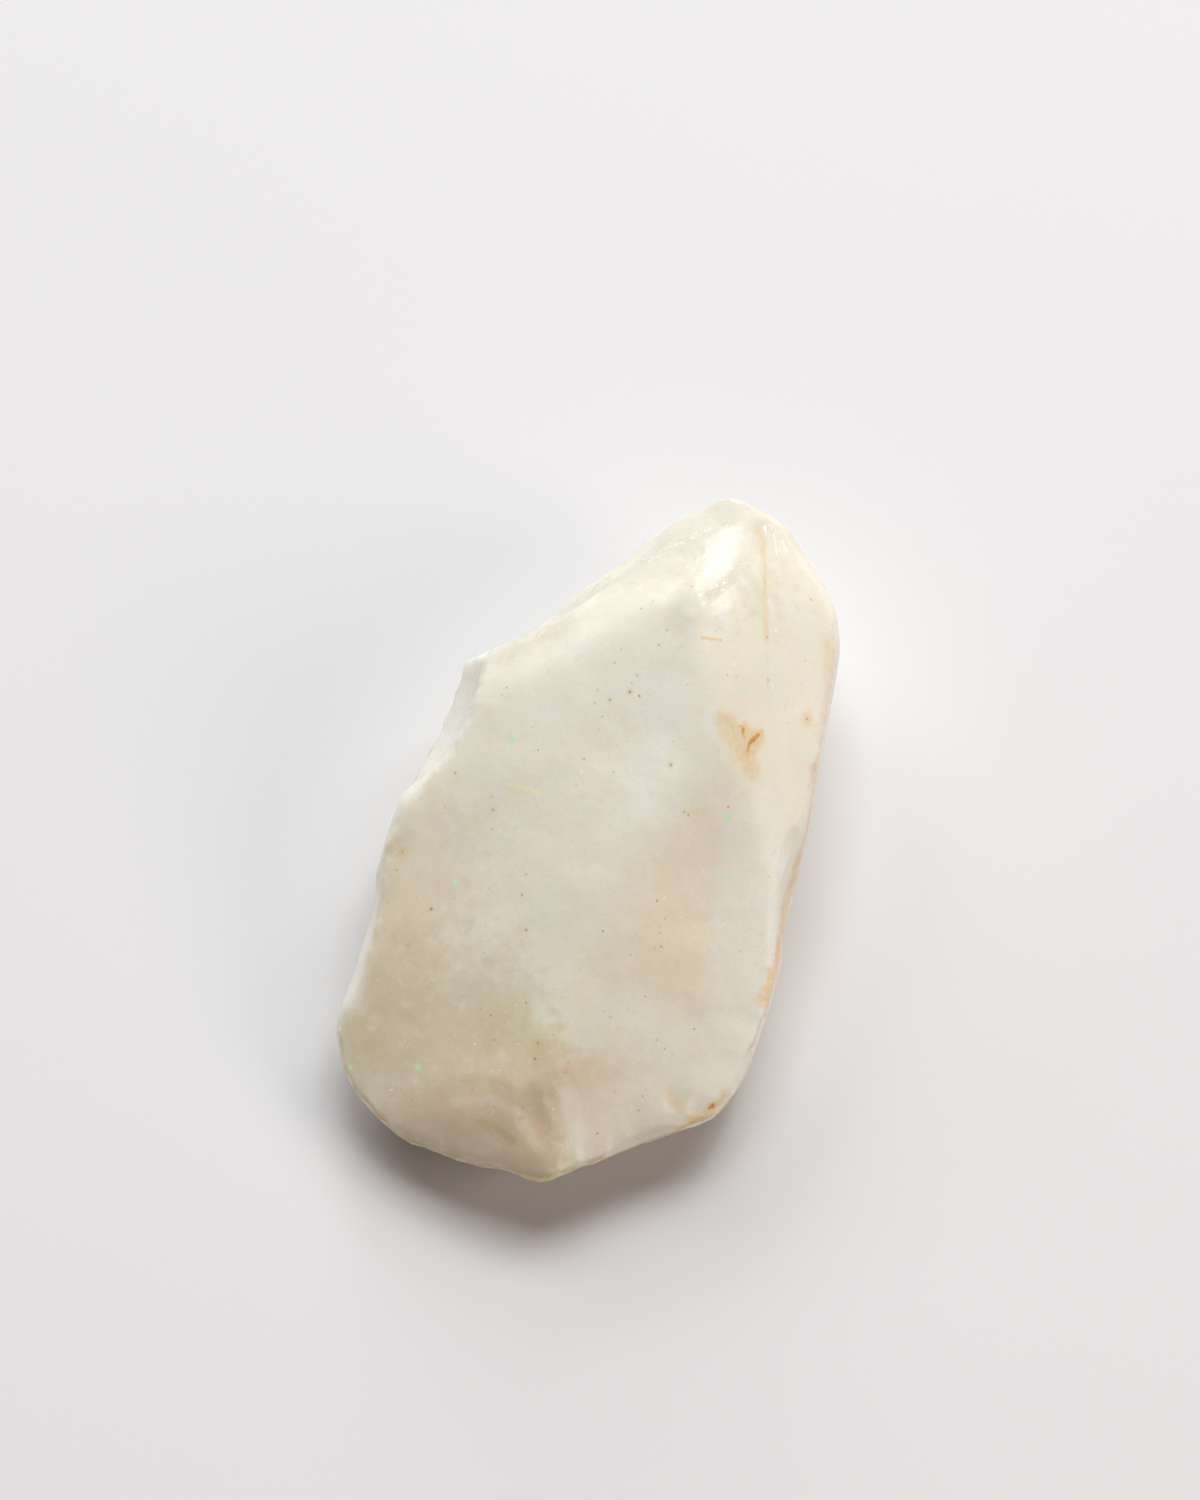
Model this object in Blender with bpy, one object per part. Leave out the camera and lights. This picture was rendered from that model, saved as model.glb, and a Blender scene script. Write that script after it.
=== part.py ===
# A rough opal specimen: one broken lump of milky opal, about 57 mm long, lying on its flattest side.
#
# The lump is described the way a stone breaks: a girdle of steep faces runs round it, upper faces
# and under faces close it above and below, and shallow flake scars are struck out of it. All of
# them together give one signed distance. A ball of even quads is slid onto its zero surface, and
# the result is thinned to TRIANGLES.

import math

import bmesh
import bpy
import numpy as np

MM = 0.001

# Driving dimensions, in millimetres and degrees. The faces are laid out around the lump as it lies,
# and LONG_AXIS_BEARING_DEG then says how far the whole is turned to bring its length onto Y.
NAME = "rough_opal"
COLLECTION = "rough_opal_specimen"
LONG_AXIS_BEARING_DEG = 15.0
HEART = (-0.5, -12.5, 9.0)
BALL_HALF_SIZES = (18.0, 28.0, 10.0)
CELLS_PER_SIDE = 72
TRIANGLES = 8000
REACH = 60.0
HALVINGS = 24
GIRDLE_LEAN_DEG = 25.0
GIRDLE_RISE_DEG = 9.0
GIRDLE_SOFTNESS = 1.0
DOME_WIDTH = 8.0
RESTING_FACET_SOFTNESS = 0.6
FLAT_TOLERANCE = 0.02

# Corners of the girdle, clockwise from the tip as seen from above: x, y, z.
CORNERS = {
    "tip": (10.1, 15.9, 12.0),
    "tip_right": (14.4, 12.8, 13.0),
    "shoulder": (17.6, 7.2, 12.0),
    "right": (18.4, 2.7, 11.5),
    "right_waist": (16.1, -11.4, 9.0),
    "right_heel": (13.7, -21.9, 8.0),
    "front_right": (10.3, -30.9, 5.0),
    "right_lip": (8.4, -33.2, 5.0),
    "keel": (-4.5, -39.1, 6.2),
    "left_lip": (-13.6, -36.0, 5.0),
    "toe_front": (-19.8, -29.4, 5.5),
    "toe_back": (-20.2, -26.0, 6.0),
    "left_waist": (-15.7, -8.9, 9.0),
    "left_corner": (-9.9, 1.3, 14.0),
    "back_left": (4.3, 12.1, 14.0),
    "tip_left": (7.5, 14.3, 13.0),
}

# Girdle faces: from corner, to corner, how far the face opens upward (degrees), outward shift (mm).
GIRDLE = (
    ("tip", "tip_right", 0, 0.4),
    ("tip_right", "shoulder", 5, 0.3),
    ("shoulder", "right", 5, 0.4),
    ("right", "right_waist", 6, -0.1),
    ("right_waist", "right_heel", 5, 0.7),
    ("right_heel", "front_right", 3, 0.5),
    ("front_right", "right_lip", 0, 0.2),
    ("right_lip", "keel", 0, 0.2),
    ("keel", "left_lip", 0, 0.5),
    ("left_lip", "toe_front", 0, 0.7),
    ("toe_front", "toe_back", 0, 1.0),
    ("toe_back", "left_waist", 2, 0.1),
    ("left_waist", "left_corner", 8, 0.0),
    ("left_corner", "back_left", 0, 0.2),
    ("back_left", "tip_left", 0, 0.2),
    ("tip_left", "tip", 0, 0.5),
)

# Upper and under faces: a point on the face, bearing (clockwise from +Y) and slope (0 faces up,
# 180 faces down) in degrees, slope of its dome, softness of its edges (mm).
FACES = {
    "main": ((-5.0, -11.6, 14.3), 240, 20, 0.03, 2.0),
    "crown": ((3.6, -5.2, 18.6), 225, 14, 0.04, 2.0),
    "right_top": ((13.5, -1.0, 17.0), 92, 36, 0.05, 3.0),
    "tip_top": ((10.1, 12.1, 16.8), 5, 40, 0.10, 3.0),
    "tip_flat": ((8.9, 7.7, 18.35), 14, 19, 0.02, 0.7),
    "back_bevel": ((-1.5, 5.4, 15.6), 322, 45, 0.00, 2.4),
    "right_of_ridge": ((2.6, -17.0, 15.6), 160, 25, 0.00, 0.8),
    "right_band": ((13.1, -15.6, 13.4), 108, 40, 0.05, 1.5),
    "front_right": ((1.5, -32.2, 9.0), 150, 27, 0.02, 1.5),
    "front_left": ((-7.0, -33.8, 8.9), 207, 36, 0.03, 0.5),
    "lower_left": ((-10.5, -28.5, 9.9), 234, 27, 0.03, 1.6),
    "under_front": ((-4.0, -32.0, 1.4), 190, 153, 0.00, 2.0),
    "under_back": ((5.0, 8.0, 3.4), 20, 140, 0.00, 2.0),
    "under_right": ((12.3, -14.0, 2.8), 95, 130, 0.00, 2.0),
    "under_left": ((-17.7, -24.0, 2.0), 262, 140, 0.00, 1.5),
    "under_left_back": ((-8.8, -2.0, 4.0), 300, 125, 0.00, 2.0),
}

# Flake scars: a point on the surface, bearing and slope of the scar, radius of the ball that
# strikes it, depth, softness of its rim (mm), bearing of its long way and how much longer it is.
SCARS = {
    "hollow": ((6.8, -18.3, 14.9), 145, 24, 14.0, 1.3, 0.8, 17, 1.9),
    "back_scar": ((-2.6, 7.7, 11.0), 325, 66, 17.0, 1.15, 0.4, 50, 1.3),
    "left_flake": ((-11.8, -2.7, 11.0), 290, 63, 10.0, 1.0, 0.4, 30, 1.25),
    "toe_flake": ((-18.4, -18.6, 7.4), 277, 66, 10.0, 0.75, 0.4, 15, 1.7),
    "right_notch": ((14.9, -16.8, 9.5), 104, 83, 16.0, 0.9, 0.5, 10, 1.2),
    "keel_groove": ((-4.0, -33.6, 9.3), 210, 36, 5.0, 0.12, 0.2, 171, 2.4),
    "under_scar": ((9.0, 6.0, 3.6), 40, 140, 20.0, 0.7, 0.5, 100, 1.4),
    "under_left_scar": ((-13.0, -13.0, 3.4), 285, 130, 14.0, 0.7, 0.5, 5, 1.7),
    "under_right_scar": ((13.2, -4.0, 4.6), 95, 128, 13.0, 0.6, 0.5, 10, 1.5),
    "chin_scar": ((2.5, -32.0, 2.6), 165, 150, 15.0, 0.5, 0.5, 80, 1.5),
}

# Slow waves over the whole skin: wave vector (radians per mm), height (mm), phase.
WAVES = (
    ((0.31, 0.17, 0.09), 0.070, 0.4),
    ((-0.22, 0.41, 0.21), 0.050, 1.7),
    ((0.55, -0.30, 0.42), 0.022, 2.9),
    ((0.37, 0.83, -0.36), 0.010, 0.8),
)


def facing(bearing_deg, slope_deg):
    bearing = math.radians(bearing_deg)
    slope = math.radians(slope_deg)
    level = math.sin(slope)
    return np.array((math.sin(bearing) * level, math.cos(bearing) * level, math.cos(slope)))


def unit(vector):
    return vector / np.linalg.norm(vector)


def length_of(vectors):
    return np.sqrt(np.sum(vectors * vectors, axis=-1))


def soften(gap, other, softness):
    # The larger of two gaps, with the edge between the two faces rounded off.
    overlap = np.clip(softness - np.abs(gap - other), 0.0, None)
    return np.maximum(gap, other) + overlap * overlap / (4.0 * softness)


def face_gap(points, centre, normal, dome):
    offset = points - centre
    height = offset @ normal
    if dome == 0.0:
        return height
    across_squared = np.maximum(np.sum(offset * offset, axis=-1) - height * height, 0.0)
    return height + dome * (np.sqrt(across_squared + DOME_WIDTH ** 2) - DOME_WIDTH)


def scar_gap(points, centre, normal, radius, depth, long_way, stretch):
    ball_centre = centre + normal * (radius - depth)
    offset = points - ball_centre
    along = offset @ unit(long_way - normal * (long_way @ normal))
    squared = np.sum(offset * offset, axis=-1) - along * along + (along / stretch) ** 2
    return radius - np.sqrt(np.maximum(squared, 0.0))


def girdle_face(start, end, opening_deg):
    # The girdle runs round an axis that leans forward from upright.
    axis = facing(180.0, GIRDLE_LEAN_DEG)
    opening = math.radians(opening_deg)
    outward = unit(np.cross(axis, end - start))
    return 0.5 * (start + end), math.cos(opening) * outward + math.sin(opening) * axis


def stone_gap(points):
    # Signed distance of each point from the skin of the lump, negative inside, in millimetres.
    gap = None
    for centre, bearing, slope, dome, softness in FACES.values():
        face = face_gap(points, np.array(centre), facing(bearing, slope), dome)
        gap = face if gap is None else soften(gap, face, softness)
    for start, end, opening, shift in GIRDLE:
        centre, normal = girdle_face(np.array(CORNERS[start]), np.array(CORNERS[end]), opening)
        face = face_gap(points, centre + normal * shift, normal, 0.0)
        gap = soften(gap, face, GIRDLE_SOFTNESS)
    for centre, bearing, slope, radius, depth, softness, way, stretch in SCARS.values():
        normal = facing(bearing, slope)
        scar = scar_gap(points, np.array(centre), normal, radius, depth, facing(way, 90), stretch)
        gap = soften(gap, scar, softness)
    for wave, height, phase in WAVES:
        gap = gap + height * np.sin(points @ np.array(wave) + phase)
    return soften(gap, -points[:, 2], RESTING_FACET_SOFTNESS)


def slide_to_skin(rays):
    # Each ray leaves the heart; its crossing of the skin is found by halving.
    heart = np.array(HEART)
    near = np.zeros(len(rays))
    far = np.full(len(rays), REACH)
    for _ in range(HALVINGS):
        middle = 0.5 * (near + far)
        outside = stone_gap(heart + rays * middle[:, None]) > 0.0
        far = np.where(outside, middle, far)
        near = np.where(outside, near, middle)
    skin = heart + rays * far[:, None]
    skin[np.abs(skin[:, 2]) < FLAT_TOLERANCE, 2] = 0.0
    return skin


def turned(points, angle_deg):
    # Turned about Z, anticlockwise seen from above.
    angle = math.radians(angle_deg)
    x = points[:, 0] * math.cos(angle) - points[:, 1] * math.sin(angle)
    y = points[:, 0] * math.sin(angle) + points[:, 1] * math.cos(angle)
    return np.stack((x, y, points[:, 2]), axis=1)


def tilted(points, angle_deg):
    # Turned about X, so that what lies along +Y rises.
    angle = math.radians(angle_deg)
    y = points[:, 1] * math.cos(angle) - points[:, 2] * math.sin(angle)
    z = points[:, 1] * math.sin(angle) + points[:, 2] * math.cos(angle)
    return np.stack((points[:, 0], y, z), axis=1)


def quad_ball():
    # A cube of even quads blown up to a ball.
    ball = bmesh.new()
    bmesh.ops.create_cube(ball, size=2.0)
    bmesh.ops.subdivide_edges(ball, edges=ball.edges[:], cuts=CELLS_PER_SIDE - 1, use_grid_fill=True)
    for vertex in ball.verts:
        even = [math.tan(0.25 * math.pi * value) for value in vertex.co]
        vertex.co = even
        vertex.co.normalize()
    return ball


def stone_mesh():
    ball = quad_ball()
    ball.verts.ensure_lookup_table()
    rays = np.array([tuple(vertex.co) for vertex in ball.verts]) * np.array(BALL_HALF_SIZES)
    rays = tilted(rays / length_of(rays)[:, None], GIRDLE_RISE_DEG)
    skin = turned(slide_to_skin(turned(rays, -LONG_AXIS_BEARING_DEG)), LONG_AXIS_BEARING_DEG)
    middle = 0.5 * (skin.min(axis=0) + skin.max(axis=0))
    skin = (skin - np.array((middle[0], middle[1], 0.0))) * MM
    for vertex, place in zip(ball.verts, skin):
        vertex.co = place
    bmesh.ops.triangulate(ball, faces=ball.faces[:], quad_method="SHORT_EDGE")
    bmesh.ops.recalc_face_normals(ball, faces=ball.faces[:])
    mesh = bpy.data.meshes.new(NAME)
    ball.to_mesh(mesh)
    ball.free()
    mesh.shade_smooth()
    return mesh


def opal_material():
    material = bpy.data.materials.new("milky_opal")
    material.use_nodes = True
    shader = material.node_tree.nodes["Principled BSDF"]
    shader.inputs["Base Color"].default_value = (0.80, 0.74, 0.63, 1.0)
    shader.inputs["Roughness"].default_value = 0.33
    shader.inputs["Metallic"].default_value = 0.0
    shader.inputs["IOR"].default_value = 1.45
    shader.inputs["Subsurface Weight"].default_value = 1.0
    shader.inputs["Subsurface Scale"].default_value = 2.0 * MM
    return material


def main():
    for old in list(bpy.data.objects):
        bpy.data.objects.remove(old, do_unlink=True)
    collection = bpy.data.collections.new(COLLECTION)
    bpy.context.scene.collection.children.link(collection)
    stone = bpy.data.objects.new(NAME, stone_mesh())
    stone.data.materials.append(opal_material())
    collection.objects.link(stone)
    thinned = stone.modifiers.new("thinned", "DECIMATE")
    thinned.ratio = TRIANGLES / len(stone.data.polygons)


main()
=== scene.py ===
import math

import bmesh
import bpy
import numpy as np
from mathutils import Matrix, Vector, noise
from mathutils.bvhtree import BVHTree


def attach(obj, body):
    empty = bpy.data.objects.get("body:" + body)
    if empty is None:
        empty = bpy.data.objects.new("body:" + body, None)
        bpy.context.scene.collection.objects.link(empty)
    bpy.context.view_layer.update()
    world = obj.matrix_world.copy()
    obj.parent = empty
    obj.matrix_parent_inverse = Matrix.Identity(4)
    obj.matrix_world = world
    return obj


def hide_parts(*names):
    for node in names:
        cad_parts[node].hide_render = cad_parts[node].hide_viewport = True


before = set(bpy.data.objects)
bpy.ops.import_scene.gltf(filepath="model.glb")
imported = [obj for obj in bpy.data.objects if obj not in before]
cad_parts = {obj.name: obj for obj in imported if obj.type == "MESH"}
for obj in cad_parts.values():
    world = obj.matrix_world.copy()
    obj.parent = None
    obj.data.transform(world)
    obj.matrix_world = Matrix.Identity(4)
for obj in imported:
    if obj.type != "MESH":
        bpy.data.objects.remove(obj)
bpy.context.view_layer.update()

mm = 0.001
tiny = 1e-9  # keeps a division from failing
print("frame loaded, nodes:", sorted(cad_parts))

# The camera stands far off and looks down on the stone. Until the last step the stone is laid out
# in millimetres as the camera sees it: X to the right, Y away, Z up. lengthBearing then turns it.
cameraSetup = {
    "distance": 763.4,
    "elevation": 65.0,
    "lens": 234.0,
    "sensor": 36.0,
    "frameWidth": 1200,
    "frameHeight": 1500,
    "clip": (0.05, 10.0),
    "stoneMiddle": (600.0, 850.0),
    "edgeStep": 1.5,  # how far a sight line just off the stone moves in each time
}
lengthBearing = 15.0

# The lump itself, the same faces and scars as the solid, on a finer skin.
lump = {
    "cellsPerSide": 128,
    "heart": (-0.5, -12.5, 9.0),
    "ballHalfSizes": (18.0, 28.0, 10.0),
    "girdleLean": 25.0,
    "girdleRise": 9.0,
    "girdleSoftness": 0.45,
    "domeWidth": 8.0,
    "restSoftness": 0.6,
    "reach": 60.0,
    "halvings": 24,
}

corners = {
    "tip": (10.1, 15.9, 12.0),
    "tipRight": (14.4, 12.8, 13.0),
    "shoulder": (17.6, 7.2, 12.0),
    "right": (18.4, 2.7, 11.5),
    "rightWaist": (16.1, -11.4, 9.0),
    "rightHeel": (13.7, -21.9, 8.0),
    "frontRight": (10.3, -30.9, 5.0),
    "rightLip": (8.4, -33.2, 5.0),
    "keel": (-4.5, -39.1, 6.2),
    "leftLip": (-13.6, -36.0, 5.0),
    "toeFront": (-19.8, -29.4, 5.5),
    "toeBack": (-20.2, -26.0, 6.0),
    "leftWaist": (-15.7, -8.9, 9.0),
    "leftCorner": (-9.9, 1.3, 14.0),
    "backLeft": (4.3, 12.1, 14.0),
    "tipLeft": (7.5, 14.3, 13.0),
}

# girdle faces: from corner, to corner, opening in degrees, shift outward in mm
girdle = (
    ("tip", "tipRight", 0, 0.4),
    ("tipRight", "shoulder", 5, 0.3),
    ("shoulder", "right", 5, 0.4),
    ("right", "rightWaist", 6, -0.1),
    ("rightWaist", "rightHeel", 5, 0.7),
    ("rightHeel", "frontRight", 3, 0.5),
    ("frontRight", "rightLip", 0, 0.2),
    ("rightLip", "keel", 0, 0.2),
    ("keel", "leftLip", 0, 0.5),
    ("leftLip", "toeFront", 0, 0.7),
    ("toeFront", "toeBack", 0, 1.0),
    ("toeBack", "leftWaist", 2, 0.1),
    ("leftWaist", "leftCorner", 8, 0.0),
    ("leftCorner", "backLeft", 0, 0.2),
    ("backLeft", "tipLeft", 0, 0.2),
    ("tipLeft", "tip", 0, 0.5),
)

# faces: a point, bearing, slope, dome, softness of the edges
faces = {
    "main": ((-5.0, -11.6, 14.3), 240, 20, 0.03, 2.0),
    "crown": ((3.6, -5.2, 18.6), 225, 14, 0.04, 2.0),
    "rightTop": ((13.5, -1.0, 17.0), 92, 36, 0.05, 2.2),
    "tipTop": ((10.1, 12.1, 16.8), 5, 40, 0.10, 2.6),
    "tipFlat": ((8.9, 7.7, 18.35), 14, 19, 0.02, 0.7),
    "backBevel": ((-1.5, 5.4, 15.6), 322, 45, 0.00, 2.4),
    "rightOfRidge": ((2.6, -17.0, 15.6), 160, 25, 0.00, 0.8),
    "rightBand": ((13.1, -15.6, 13.4), 108, 40, 0.05, 0.9),
    "frontRight": ((1.5, -32.2, 9.0), 150, 27, 0.02, 1.5),
    "frontLeft": ((-7.0, -33.8, 8.9), 207, 36, 0.03, 0.5),
    "lowerLeft": ((-10.5, -28.5, 9.9), 234, 27, 0.03, 1.6),
    "underFront": ((-4.0, -32.0, 1.4), 190, 153, 0.00, 2.0),
    "underBack": ((5.0, 8.0, 3.4), 20, 140, 0.00, 2.0),
    "underRight": ((12.3, -14.0, 2.8), 95, 130, 0.00, 2.0),
    "underLeft": ((-17.7, -24.0, 2.0), 262, 140, 0.00, 1.5),
    "underLeftBack": ((-8.8, -2.0, 4.0), 300, 125, 0.00, 2.0),
}

# scars: a point, bearing, slope, radius, depth, softness, bearing of the long way, stretch
scars = {
    "hollow": ((6.8, -18.3, 14.9), 145, 24, 14.0, 1.3, 0.8, 17, 1.9),
    "backScar": ((-2.6, 7.7, 11.0), 325, 66, 17.0, 1.15, 0.7, 50, 1.3),
    "leftFlake": ((-11.8, -2.7, 11.0), 290, 63, 10.0, 1.0, 0.3, 30, 1.25),
    "toeFlake": ((-18.4, -18.6, 7.4), 277, 66, 10.0, 0.75, 0.15, 15, 1.7),
    "rightNotch": ((14.9, -16.8, 9.5), 104, 83, 16.0, 0.9, 0.25, 10, 1.2),
    "keelGroove": ((-4.0, -33.6, 9.3), 210, 36, 5.0, 0.12, 0.10, 171, 2.4),
    "underScar": ((9.0, 6.0, 3.6), 40, 140, 20.0, 0.7, 0.5, 100, 1.4),
    "underLeftScar": ((-13.0, -13.0, 3.4), 285, 130, 14.0, 0.7, 0.5, 5, 1.7),
    "underRightScar": ((13.2, -4.0, 4.6), 95, 128, 13.0, 0.6, 0.5, 10, 1.5),
    "chinScar": ((2.5, -32.0, 2.6), 165, 150, 15.0, 0.5, 0.5, 80, 1.5),
}

# slow waves over the whole skin: wave vector, height, phase
waves = (
    ((0.31, 0.17, 0.09), 0.070, 0.4),
    ((-0.22, 0.41, 0.21), 0.050, 1.7),
    ((0.55, -0.30, 0.42), 0.022, 2.9),
    ((0.37, 0.83, -0.36), 0.010, 0.8),
)


def facing(bearing, slope):
    b, s = math.radians(bearing), math.radians(slope)
    return np.array((math.sin(b) * math.sin(s), math.cos(b) * math.sin(s), math.cos(s)))


def unit(v):
    return v / np.linalg.norm(v)


def lengthOf(v):
    return np.sqrt(np.sum(v * v, axis=-1))


def ease(x):
    x = np.clip(x, 0.0, 1.0)
    return x * x * (3.0 - 2.0 * x)


def soften(gap, other, softness):  # the larger gap, with the edge between the two rounded off
    overlap = np.clip(softness - np.abs(gap - other), 0.0, None)
    return np.maximum(gap, other) + overlap * overlap / (4.0 * softness)


def faceGap(points, centre, normal, dome):
    offset = points - centre
    height = offset @ normal
    if dome == 0.0:
        return height
    across = np.maximum(np.sum(offset * offset, axis=-1) - height * height, 0.0)
    return height + dome * (np.sqrt(across + lump["domeWidth"] ** 2) - lump["domeWidth"])


def scarGap(points, centre, normal, radius, depth, longWay, stretch):
    offset = points - (centre + normal * (radius - depth))
    along = offset @ unit(longWay - normal * (longWay @ normal))
    squared = np.sum(offset * offset, axis=-1) - along * along + (along / stretch) ** 2
    return radius - np.sqrt(np.maximum(squared, 0.0))


def girdleFace(start, end, opening):
    axis = facing(180.0, lump["girdleLean"])
    outward = unit(np.cross(axis, end - start))
    a = math.radians(opening)
    return 0.5 * (start + end), math.cos(a) * outward + math.sin(a) * axis


def stoneGap(points):  # signed distance from the skin in mm, negative inside
    gap = None
    for centre, bearing, slope, dome, softness in faces.values():
        face = faceGap(points, np.array(centre), facing(bearing, slope), dome)
        gap = face if gap is None else soften(gap, face, softness)
    for start, end, opening, shift in girdle:
        centre, normal = girdleFace(np.array(corners[start]), np.array(corners[end]), opening)
        face = faceGap(points, centre + normal * shift, normal, 0.0)
        gap = soften(gap, face, lump["girdleSoftness"])
    for centre, bearing, slope, radius, depth, softness, way, stretch in scars.values():
        normal = facing(bearing, slope)
        scar = scarGap(points, np.array(centre), normal, radius, depth, facing(way, 90), stretch)
        gap = soften(gap, scar, softness)
    for wave, height, phase in waves:
        gap = gap + height * np.sin(points @ np.array(wave) + phase)
    return soften(gap, -points[:, 2], lump["restSoftness"])


def turned(points, degrees):  # about Z, anticlockwise seen from above
    a = math.radians(degrees)
    x = points[:, 0] * math.cos(a) - points[:, 1] * math.sin(a)
    y = points[:, 0] * math.sin(a) + points[:, 1] * math.cos(a)
    return np.stack((x, y, points[:, 2]), axis=1)


def tilted(points, degrees):  # about X, what lies along +Y rises
    a = math.radians(degrees)
    y = points[:, 1] * math.cos(a) - points[:, 2] * math.sin(a)
    z = points[:, 1] * math.sin(a) + points[:, 2] * math.cos(a)
    return np.stack((points[:, 0], y, z), axis=1)


def quadBall():  # a cube of even quads blown up to a ball
    ball = bmesh.new()
    bmesh.ops.create_cube(ball, size=2.0)
    cuts = lump["cellsPerSide"] - 1
    bmesh.ops.subdivide_edges(ball, edges=ball.edges[:], cuts=cuts, use_grid_fill=True)
    for vertex in ball.verts:
        vertex.co = [math.tan(0.25 * math.pi * value) for value in vertex.co]
        vertex.co.normalize()
    mesh = bpy.data.meshes.new("roughOpalStone")
    ball.to_mesh(mesh)
    ball.free()
    return mesh


def slideToSkin(rays):
    heart = np.array(lump["heart"])
    near, far = np.zeros(len(rays)), np.full(len(rays), lump["reach"])
    for turn in range(lump["halvings"]):
        middle = 0.5 * (near + far)
        outside = stoneGap(heart + rays * middle[:, None]) > 0.0
        far = np.where(outside, middle, far)
        near = np.where(outside, near, middle)
    return heart + rays * far[:, None]


def skinNormals(points, step=0.02):
    slope = np.zeros_like(points)
    for axis in range(3):
        move = np.zeros(3)
        move[axis] = step
        slope[:, axis] = stoneGap(points + move) - stoneGap(points - move)
    return slope / lengthOf(slope)[:, None]


stoneMesh = quadBall()
ballPoints = np.empty(len(stoneMesh.vertices) * 3)
stoneMesh.vertices.foreach_get("co", ballPoints)
rays = ballPoints.reshape(-1, 3) * np.array(lump["ballHalfSizes"])
rays = tilted(rays / lengthOf(rays)[:, None], lump["girdleRise"])
skin = slideToSkin(turned(rays, -lengthBearing))
normals = skinNormals(skin)
rowSkin = turned(skin, lengthBearing)
rowShift = 0.5 * (rowSkin.min(axis=0) + rowSkin.max(axis=0)) * np.array((1.0, 1.0, 0.0))
print("skin laid out:", len(skin), "points")

quads = [tuple(p.vertices) for p in stoneMesh.polygons]
skinTree = BVHTree.FromPolygons([Vector(p) for p in skin], quads)

lookDown = math.radians(cameraSetup["elevation"])
cameraPlace = cameraSetup["distance"] * np.array((0.0, -math.cos(lookDown), math.sin(lookDown)))


def sightRay(pixel):  # the line of sight through a point of the 1200 x 1500 frame
    focal = cameraSetup["lens"] / cameraSetup["sensor"] * cameraSetup["frameHeight"]
    x = (pixel[0] - 0.5 * cameraSetup["frameWidth"]) / focal
    y = (0.5 * cameraSetup["frameHeight"] - pixel[1]) / focal
    right = np.array((1.0, 0.0, 0.0))
    up = np.array((0.0, math.sin(lookDown), math.cos(lookDown)))
    return unit(right * x + up * y - unit(cameraPlace))


def onSkin(pixel):  # where the stone's skin is seen at that point, and which way it faces
    aim, place = np.array(pixel, float), None
    while place is None:  # a point just off the stone moves in to its edge
        place, normal, face, distance = skinTree.ray_cast(Vector(cameraPlace), Vector(sightRay(aim)))
        aim = aim + cameraSetup["edgeStep"] * unit(np.array(cameraSetup["stoneMiddle"]) - aim)
    return np.array(place), np.array(normal)


# Relief: sizes and heights in mm. Each fade has a start and a width.
relief = {
    "broadSize": 7.0,
    "broadHeight": 0.09,
    "middleSize": 2.4,
    "middleHeight": 0.042,
    "fineSize": 0.75,
    "fineHeight": 0.010,
    "underHeight": 0.15,
    "underSize": 1.6,
    "underFade": (0.1, 0.4),
    "rimHeight": 0.16,
    "rimSize": 1.1,
    "rimLevel": 0.15,
    "rimFade": (0.15, 0.35),
    "scratchHeight": 0.035,
    "scratchSize": (0.9, 7.0, 0.45),
    "scratchFade": (0.72, 0.2),
    "restFade": (0.0, 0.7),
    "restFlat": 0.02,
    "sharpRounds": 4,
    "bendRounds": 3,
}


def fade(values, start, width):  # 0 up to the start, 1 beyond the width
    return ease((values - start) / width)


def cloud(points, size, layers, shift=0.0):
    smoothness, layerStep = 1.0, 2.0
    spots = points / size + shift
    return np.array([noise.fractal(Vector(p), smoothness, layerStep, layers) for p in spots])


def fromHeart(bearing, rise):  # a point of the skin found from inside, for the sides out of sight
    heart = Vector(lump["heart"])
    place, normal, face, distance = skinTree.ray_cast(heart, Vector(facing(bearing, 90.0 - rise)))
    return np.array(place), np.array(normal)


def seenPath(pixels):
    return [onSkin(pixel)[0] for pixel in pixels]


def hiddenPath(rounds):
    return [fromHeart(bearing, rise)[0] for bearing, rise in rounds]


def pathDistance(points, path):  # distance to a line of points, and how far along it, 0 to 1
    nearest = np.full(len(points), np.inf)
    share = np.zeros(len(points))
    if len(path) == 1:
        return lengthOf(points - path[0]), share
    for k in range(len(path) - 1):
        run = path[k + 1] - path[k]
        along = np.clip(((points - path[k]) @ run) / max(run @ run, tiny), 0.0, 1.0)
        apart = lengthOf(points - path[k] - along[:, None] * run)
        nearer = apart < nearest
        nearest = np.where(nearer, apart, nearest)
        share = np.where(nearer, (k + along) / (len(path) - 1), share)
    return nearest, share


def carve(points, centre, axis, radius, longWay=None, stretch=1.0):
    # what lies inside a ball, or one drawn out along longWay, goes down to its far side
    offset = points - centre
    if longWay is not None:
        offset = offset - (offset @ longWay * (1.0 - 1.0 / stretch))[:, None] * longWay
    inside = np.sum(offset * offset, axis=1) < radius * radius
    held = offset[inside]
    down = held @ axis
    squaredChord = down * down - np.sum(held * held, axis=1) + radius * radius
    push = down + np.sqrt(np.maximum(squaredChord, 0.0))
    points[inside] -= push[:, None] * axis
    return points, inside


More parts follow.
